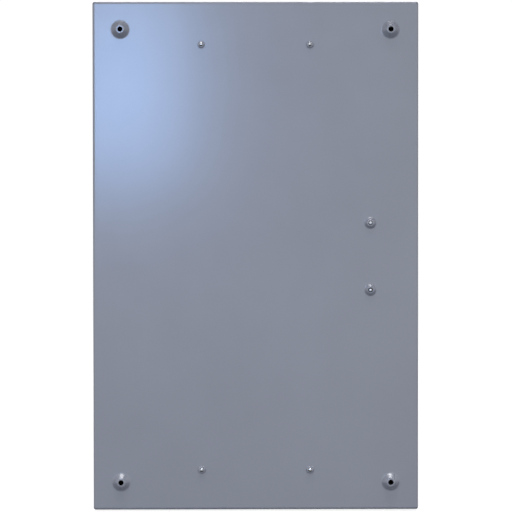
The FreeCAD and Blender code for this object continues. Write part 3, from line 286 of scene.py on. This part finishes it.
for part in frame["record"]["subparts"]:
    mesh = nodes[part["node"]].data
    mesh.materials.clear()
    mesh.materials.append(finishes[part["material_slot"]])


# ---------------------------------------------------------------- meshes

def piece(name, bm, material, body):
    """A finished bmesh as an object that rides on a body and takes its finish from a slot."""
    mesh = bpy.data.meshes.new(name)
    bm.to_mesh(mesh)
    bm.free()
    mesh.materials.append(material)
    obj = bpy.data.objects.new(name, mesh)
    bpy.context.scene.collection.objects.link(obj)
    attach(obj, body)
    return obj


THREAD_TURNS = 36
RINGS_PER_PITCH = 8

# Half profile of a pan head, as fractions of its radius and height, from the axis to the axis
PAN_HEAD = ((0, 1), (0.45, 0.99), (0.72, 0.90), (0.90, 0.68), (0.985, 0.40), (1, 0.15), (0.99, 0), (0, 0))

# Cross recess, as fractions of the head's radius (span, width) and height (depth), and its turn in radians
RECESS_SPAN = 1.15
RECESS_WIDTH = 0.26
RECESS_DEPTH = 1.1
RECESS_TAPER = 0.55
RECESS_TURN = 0.35

SHARP_DEGREES = 35
CAD_WELD = 2e-6


def lathe(profile, turns=40):
    """Closed solid of revolution about Z through (radius, height) points, from the axis to the axis."""
    bm = bmesh.new()
    rings = []
    for radius, height in profile:
        if radius < 1e-9:
            rings.append([bm.verts.new((0, 0, height))])
            continue
        ring = []
        for step in range(turns):
            angle = 2 * math.pi * step / turns
            ring.append(bm.verts.new((radius * math.cos(angle), radius * math.sin(angle), height)))
        rings.append(ring)
    for low, high in zip(rings, rings[1:]):
        for step in range(turns):
            after = (step + 1) % turns
            if len(low) == 1:
                bm.faces.new((low[0], high[step], high[after]))
            elif len(high) == 1:
                bm.faces.new((low[after], low[step], high[0]))
            else:
                bm.faces.new((low[step], high[step], high[after], low[after]))
    bmesh.ops.recalc_face_normals(bm, faces=bm.faces)
    return bm


def threaded_shank(shank_r, length, pitch, cap):
    """Rolled thread with a domed tip, from the seat at 0 down to -length, closed by a cap point above the seat."""
    depth = min(0.35 * pitch, 0.22 * shank_r)
    steps = int(length / pitch * RINGS_PER_PITCH)
    bm = bmesh.new()
    rings = []
    for step in range(steps + 1):
        height = -(length - 0.12 * shank_r) * step / steps
        left = min(1.0, (length + height) / (0.8 * shank_r))
        tip = math.sqrt(1.0 - (1.0 - left) ** 2 * 0.88)
        ring = []
        for turn in range(THREAD_TURNS):
            angle = 2 * math.pi * turn / THREAD_TURNS
            phase = (height / pitch + turn / THREAD_TURNS) % 1.0
            crest = max(0.0, 1.0 - abs(phase - 0.5) * 3.0)
            radius = (shank_r - depth + depth * crest) * tip
            ring.append(bm.verts.new((radius * math.cos(angle), radius * math.sin(angle), height)))
        rings.append(ring)
    for high, low in zip(rings, rings[1:]):
        for turn in range(THREAD_TURNS):
            after = (turn + 1) % THREAD_TURNS
            bm.faces.new((high[turn], low[turn], low[after], high[after]))
    point = bm.verts.new((0, 0, -length))
    for turn in range(THREAD_TURNS):
        bm.faces.new((rings[-1][(turn + 1) % THREAD_TURNS], rings[-1][turn], point))
    top = bm.verts.new((0, 0, cap))
    for turn in range(THREAD_TURNS):
        bm.faces.new((rings[0][turn], rings[0][(turn + 1) % THREAD_TURNS], top))
    return bm


def recessed_head(head_r, head_h):
    """Pan head on its seat at 0, with a cross recess."""
    head = lathe([(head_r * across, head_h * up) for across, up in PAN_HEAD])
    cross = bmesh.new()
    for spin in (0, math.pi / 2):
        arm = bmesh.ops.create_cube(cross, size=1.0)["verts"]
        for vert in arm:
            taper = 1.0 if vert.co.z > 0 else RECESS_TAPER
            vert.co.x *= head_r * RECESS_SPAN * taper
            vert.co.y *= head_r * RECESS_WIDTH
            vert.co.z = vert.co.z * head_h * RECESS_DEPTH + head_h
        bmesh.ops.rotate(cross, verts=arm, cent=(0, 0, 0), matrix=Matrix.Rotation(spin + RECESS_TURN, 3, "Z"))
    return carved(head, cross)


def carved(body, cutter):
    """Body minus cutter, both bmeshes, by an exact boolean."""
    made = []
    for bm in (body, cutter):
        mesh = bpy.data.meshes.new("carving")
        bm.to_mesh(mesh)
        bm.free()
        obj = bpy.data.objects.new("carving", mesh)
        bpy.context.scene.collection.objects.link(obj)
        made.append(obj)
    cut = made[0].modifiers.new("cut", "BOOLEAN")
    cut.operation = "DIFFERENCE"
    cut.solver = "EXACT"
    cut.object = made[1]
    cut.use_self = True
    result = bmesh.new()
    result.from_object(made[0], bpy.context.evaluated_depsgraph_get())
    for obj in made:
        mesh = obj.data
        bpy.data.objects.remove(obj)
        bpy.data.meshes.remove(mesh)
    return result


def islands(node):
    """Boxes (low, high) of the separate solids of a CAD node."""
    bm = bmesh.new()
    bm.from_mesh(nodes[node].data)
    bmesh.ops.remove_doubles(bm, verts=bm.verts, dist=CAD_WELD)
    left = set(bm.verts)
    boxes = []
    while left:
        stack = [left.pop()]
        low = Vector(stack[0].co)
        high = Vector(stack[0].co)
        while stack:
            vert = stack.pop()
            low = Vector(map(min, low, vert.co))
            high = Vector(map(max, high, vert.co))
            for edge in vert.link_edges:
                other = edge.other_vert(vert)
                if other in left:
                    left.remove(other)
                    stack.append(other)
        boxes.append((low, high))
    bm.free()
    return boxes


def replace_screws(node, head_h, shank_r, pitch, slot):
    """Threaded, cross-recess screws in place of a fixed node's plain ones; their heads face the front."""
    whole = bmesh.new()
    for low, high in islands(node):
        centre = (low + high) / 2
        head_r = (high.x - low.x) / 2
        length = high.y - low.y - head_h
        lay = Matrix.Translation((centre.x, low.y + head_h, centre.z)) @ Matrix.Rotation(math.radians(90), 4, "X")
        for bm in (threaded_shank(shank_r, length, pitch, 0.2 * head_h), recessed_head(head_r, head_h)):
            bmesh.ops.transform(bm, matrix=lay, verts=bm.verts)
            mesh = bpy.data.meshes.new("screw")
            bm.to_mesh(mesh)
            bm.free()
            whole.from_mesh(mesh)
            bpy.data.meshes.remove(mesh)
    made = piece(node + "_threaded", whole, finishes[slot], "root")
    made.data.shade_smooth()
    made.data.set_sharp_from_angle(angle=math.radians(SHARP_DEGREES))
    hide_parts(node)


# ---------------------------------------------------------------- hardware with threads

replace_screws("interior_screws", 2.6 * MM, 2.3 * MM, 0.9 * MM, "zinc")
replace_screws("ground_bar_mounting_screws", 2.6 * MM, 2.45 * MM, 0.9 * MM, "zinc")
replace_screws("cover_screws", 2.4 * MM, 2.2 * MM, 0.8 * MM, "zinc")
replace_screws("bonding_screw", 2.6 * MM, 2.2 * MM, 0.8 * MM, "green_screw")


# ---------------------------------------------------------------- printed marks

INK_DEPTH = 0.06 * MM


def lettering(text, size, place, right, up):
    """Flat printed text as a bmesh, centred at a place, its baseline along right and its height along up."""
    curve = bpy.data.curves.new("text", "FONT")
    curve.body = text
    curve.size = size
    curve.align_x = "CENTER"
    curve.align_y = "CENTER"
    curve.extrude = INK_DEPTH / 2
    curve.resolution_u = 3
    obj = bpy.data.objects.new("text", curve)
    bpy.context.scene.collection.objects.link(obj)
    solid = bpy.data.meshes.new_from_object(obj.evaluated_get(bpy.context.evaluated_depsgraph_get()))
    bm = bmesh.new()
    bm.from_mesh(solid)
    bpy.data.meshes.remove(solid)
    bpy.data.objects.remove(obj)
    bpy.data.curves.remove(curve)
    bmesh.ops.remove_doubles(bm, verts=bm.verts, dist=1e-7)
    out = right.cross(up)
    turn = Matrix((right, up, out)).transposed().to_4x4()
    bmesh.ops.transform(bm, matrix=Matrix.Translation(place + out * INK_DEPTH / 2) @ turn, verts=bm.verts)
    return bm


def printed(name, marks, material, body):
    """One piece made of several pieces of lettering."""
    whole = bmesh.new()
    for bm in marks:
        mesh = bpy.data.meshes.new("mark")
        bm.to_mesh(mesh)
        bm.free()
        whole.from_mesh(mesh)
        bpy.data.meshes.remove(mesh)
    return piece(name, whole, material, body)


RIGHT = Vector((1, 0, 0))
UP = Vector((0, 0, 1))

CIRCUIT_ROWS = 10
BREAKER_PITCH = 25.4 * MM
SPACE_GAP = 0.25 * MM           # from a breaker case's end to its space's end
CIRCUIT_NUMBER_X = 75 * MM
CIRCUIT_NUMBER_SIZE = 5.2 * MM

HANDLE_TILT = math.radians(20)  # of every handle, at rest, away from its middle
BRANCH_HANDLE_REACH = 13.0 * MM
BRANCH_MARK_SIZE = 3.4 * MM
BRANCH_MARK_OFFSET = 14.5 * MM  # from a branch handle's axis to its I and O
MAIN_HANDLE_REACH = 15.2 * MM
MAIN_RATING_SIZE = 4.6 * MM
MAIN_MARK_SIZE = 4.2 * MM
MAIN_MARKS = (("I", 15.0 * MM), ("O", -17.0 * MM))

# Ratings of the breakers in each column, from the top; the first is a two-pole
COLUMN_RATINGS = ("30", "20", "20", "15", "15")


def circuit_numbers():
    """Circuit numbers on the inner plate, odd on the left and even on the right."""
    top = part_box("branch_right_1_case")[1].z + SPACE_GAP
    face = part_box("dead_front")[0].y
    marks = []
    for row in range(CIRCUIT_ROWS):
        height = top - (row + 0.5) * BREAKER_PITCH
        for side, number in ((-1, 2 * row + 1), (1, 2 * row + 2)):
            place = Vector((side * CIRCUIT_NUMBER_X, face, height))
            marks.append(lettering(str(number), CIRCUIT_NUMBER_SIZE, place, RIGHT, UP))
    printed("circuit_numbers", marks, white_ink, "root")


def branch_rating(joint):
    """A branch breaker's rating, on the end of its handle."""
    node = joint["child"]
    side = 1 if "right" in node else -1
    tilt = HANDLE_TILT * side
    out = Vector((math.sin(tilt), -math.cos(tilt), 0))
    right = Vector((math.cos(tilt), math.sin(tilt), 0))
    tip = Vector(joint["pos_m"]) + out * BRANCH_HANDLE_REACH
    rating = COLUMN_RATINGS[int(node.split("_")[2]) - 1]
    mark = lettering(rating, BRANCH_MARK_SIZE, tip, UP * side, right * -side)
    printed(node + "_rating", [mark], white_ink, node)


def main_rating(joint):
    """The main breaker's rating, on the end of its handle."""
    out = Vector((0, -math.cos(HANDLE_TILT), -math.sin(HANDLE_TILT)))
    up = Vector((0, -math.sin(HANDLE_TILT), math.cos(HANDLE_TILT)))
    tip = Vector(joint["pos_m"]) + out * MAIN_HANDLE_REACH
    mark = lettering("100", MAIN_RATING_SIZE, tip, RIGHT, up)
    printed("main_handle_rating", [mark], white_ink, "main_handle")


def on_off_marks(branch_joints, main_joint):
    """I and O on every breaker's case."""
    marks = []
    for joint in branch_joints:
        low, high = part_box(joint["child"].replace("handle", "case"))
        side = 1 if "right" in joint["child"] else -1
        for symbol, offset in (("I", -BRANCH_MARK_OFFSET), ("O", BRANCH_MARK_OFFSET)):
            place = Vector((joint["pos_m"][0] + side * offset, low.y, (low.z + high.z) / 2))
            marks.append(lettering(symbol, BRANCH_MARK_SIZE, place, RIGHT, UP))
    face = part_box("main_breaker_case")[0].y
    for symbol, offset in MAIN_MARKS:
        place = Vector((0, face, main_joint["pos_m"][2] + offset))
        marks.append(lettering(symbol, MAIN_MARK_SIZE, place, RIGHT, UP))
    printed("breaker_marks", marks, white_ink, "root")


branch_throws = [joint for joint in frame["joints"] if joint["name"].startswith("branch")]
main_throw = next(joint for joint in frame["joints"] if joint["name"] == "main_throw")
circuit_numbers()
for throw in branch_throws:
    branch_rating(throw)
main_rating(main_throw)
on_off_marks(branch_throws, main_throw)


CARD_MARGIN = 6 * MM
CARD_RULE = 0.35 * MM
CARD_NUMBER_SIZE = 5 * MM
CARD_NUMBER_INSET = 5 * MM


def ruled_card():
    """Rules and row numbers of the circuit directory, printed on the card inside the door."""
    low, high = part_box("directory_card")
    face = high.y
    left = Vector((-1, 0, 0))
    made = []

    def rule(x0, x1, z0, z1):
        bm = bmesh.new()
        cube = bmesh.ops.create_cube(bm, size=1.0)["verts"]
        bmesh.ops.scale(bm, verts=cube, vec=(x1 - x0, INK_DEPTH, z1 - z0))
        bmesh.ops.translate(bm, verts=cube, vec=((x0 + x1) / 2, face + INK_DEPTH / 2, (z0 + z1) / 2))
        made.append(bm)

    first = low.x + CARD_MARGIN
    last = high.x - CARD_MARGIN
    middle = (low.x + high.x) / 2
    top = high.z - 2 * CARD_MARGIN
    bottom = low.z + CARD_MARGIN
    step = (top - bottom) / CIRCUIT_ROWS
    for row in range(CIRCUIT_ROWS + 1):
        z = bottom + row * step
        rule(first, last, z - CARD_RULE / 2, z + CARD_RULE / 2)
    for x in (first, middle, last):
        rule(x - CARD_RULE / 2, x + CARD_RULE / 2, bottom, top)
    for row in range(CIRCUIT_ROWS):
        z = top - (row + 0.5) * step
        for edge, number in ((last, 2 * row + 1), (middle, 2 * row + 2)):
            place = Vector((edge - CARD_NUMBER_INSET, face, z))
            made.append(lettering(str(number), CARD_NUMBER_SIZE, place, left, UP))
    printed("directory_print", made, black_ink, "door")


ruled_card()


# ---------------------------------------------------------------- stage, lights and camera

WHITE = (1.0, 1.0, 1.0)
FLOOR_DULL = (0.33, 0.33, 0.33)
FLOOR_CLEAN = (0.36, 0.36, 0.36)
FLOOR_GLOW = 0.83
FLOOR_RADIUS = 40.0

# Strength of the studio's white walls ahead and behind, and its share overhead, beside and below
ROOM_LEVEL = 1.25
ROOM_OVERHEAD = 0.30
ROOM_BESIDE = 0.55
ROOM_BELOW = 0.14
BACKDROP = 1.05


def stage_floor():
    """Large white table under the object, lit a little from below like a light table."""
    s = Surface("pale_floor", Specular_IOR_Level=0.1, Emission_Color=(*WHITE, 1.0), Emission_Strength=FLOOR_GLOW)
    cloud = s.noise(3.0, 3.0)
    s.colour(s.blend(s.span(cloud, 0.3, 0.7), FLOOR_DULL, FLOOR_CLEAN))
    s.roughness(cloud, 0.8, 0.9)
    bm = bmesh.new()
    bmesh.ops.create_circle(bm, cap_ends=True, segments=96, radius=FLOOR_RADIUS)
    bmesh.ops.translate(bm, verts=bm.verts, vec=(0, 0, cad_bounds[0].z))
    mesh = bpy.data.meshes.new("floor")
    bm.to_mesh(mesh)
    bm.free()
    mesh.materials.append(s.material)
    floor = bpy.data.objects.new("floor", mesh)
    bpy.context.scene.collection.objects.link(floor)
    floor.visible_diffuse = False
    floor.visible_glossy = False
    floor.visible_shadow = False


def room():
    """Studio seen in reflections and as fill: brightest ahead and behind, dimmer overhead, beside and below.

    The camera sees a plain white backdrop instead.
    """
    world = bpy.data.worlds.new("room")
    world.use_nodes = True
    bpy.context.scene.world = world
    tree = world.node_tree

    def add(kind, **settings):
        node = tree.nodes.new(kind)
        for key, value in settings.items():
            setattr(node, key, value)
        return node

    def step(value, low, high, out_low, out_high):
        node = add("ShaderNodeMapRange", interpolation_type="SMOOTHSTEP")
        for socket, number in zip(("From Min", "From Max", "To Min", "To Max"), (low, high, out_low, out_high)):
            if isinstance(number, float):
                node.inputs[socket].default_value = number
            else:
                tree.links.new(number, node.inputs[socket])
        tree.links.new(value, node.inputs["Value"])
        return node.outputs["Result"]

    def times(a, b):
        node = add("ShaderNodeMath", operation="MULTIPLY")
        tree.links.new(a, node.inputs[0])
        tree.links.new(b, node.inputs[1])
        return node.outputs["Value"]

    split = add("ShaderNodeSeparateXYZ")
    tree.links.new(add("ShaderNodeTexCoord").outputs["Generated"], split.inputs["Vector"])
    ahead = add("ShaderNodeMath", operation="ABSOLUTE")
    tree.links.new(split.outputs["Y"], ahead.inputs[0])
    underneath = step(split.outputs["Y"], -0.6, -0.15, ROOM_LEVEL, ROOM_BELOW)
    height = step(split.outputs["Z"], -0.30, -0.02, underneath, ROOM_LEVEL)
    overhead = step(split.outputs["Z"], 0.15, 0.75, 1.0, ROOM_OVERHEAD)
    beside = step(ahead.outputs["Value"], 0.05, 0.80, ROOM_BESIDE, 1.0)
    seen = add("ShaderNodeMix", data_type="FLOAT")
    tree.links.new(add("ShaderNodeLightPath").outputs["Is Camera Ray"], seen.inputs["Factor"])
    tree.links.new(times(height, times(overhead, beside)), seen.inputs[2])
    seen.inputs[3].default_value = BACKDROP
    background = next(n for n in tree.nodes if n.type == "BACKGROUND")
    background.inputs["Color"].default_value = (*WHITE, 1.0)
    tree.links.new(seen.outputs[0], background.inputs["Strength"])


def soft_light(name, place, aim, size, radiance, colour=WHITE, spread=180):
    """Rectangular soft light of a given radiance, aimed at a point and hidden from the camera."""
    lamp = bpy.data.lights.new(name, "AREA")
    lamp.shape = "RECTANGLE"
    lamp.size, lamp.size_y = size
    lamp.color = colour
    lamp.spread = math.radians(spread)
    lamp.energy = radiance * size[0] * size[1] * math.pi
    obj = bpy.data.objects.new(name, lamp)
    obj.location = place
    obj.rotation_euler = (Vector(aim) - Vector(place)).to_track_quat("-Z", "Y").to_euler()
    obj.visible_camera = False
    bpy.context.scene.collection.objects.link(obj)


WINDOW_BLUE = (0.33, 0.55, 1.0)

CAMERA_PLACE = (0.0135, 2.0, 0.0383)
CAMERA_AIM = (-0.0003, -0.005, 0.0003)
CAMERA_LENS_MM = 126.87
CAMERA_SENSOR_MM = 36.0
CAMERA_ROLL = math.radians(-0.06)
CAMERA_FAR = 200.0

stage_floor()
room()
soft_light("overhead", (0.0, 0.33, 1.1), (0.0, 0.45, -0.25), (1.3, 0.34), 2.7, spread=56)
soft_light("window", (0.300, 2.15, 0.360), (0.152, 0.0, 0.194), (0.27, 0.46), 19.5, WINDOW_BLUE)
soft_light("front_fill", (0.3, -2.2, 1.9), (0.0, 0.0, 0.0), (1.8, 1.2), 4.0)

scene = bpy.context.scene
scene.view_settings.view_transform = "Standard"
camera_data = bpy.data.cameras.new("camera")
camera_data.sensor_width = CAMERA_SENSOR_MM
camera_data.lens = CAMERA_LENS_MM
camera_data.clip_end = CAMERA_FAR
camera = bpy.data.objects.new("camera", camera_data)
camera.location = CAMERA_PLACE
look = (Vector(CAMERA_AIM) - camera.location).to_track_quat("-Z", "Y")
roll = Matrix.Rotation(CAMERA_ROLL, 4, "Z").to_quaternion()
camera.rotation_euler = (look @ roll).to_euler()
scene.collection.objects.link(camera)
scene.camera = camera
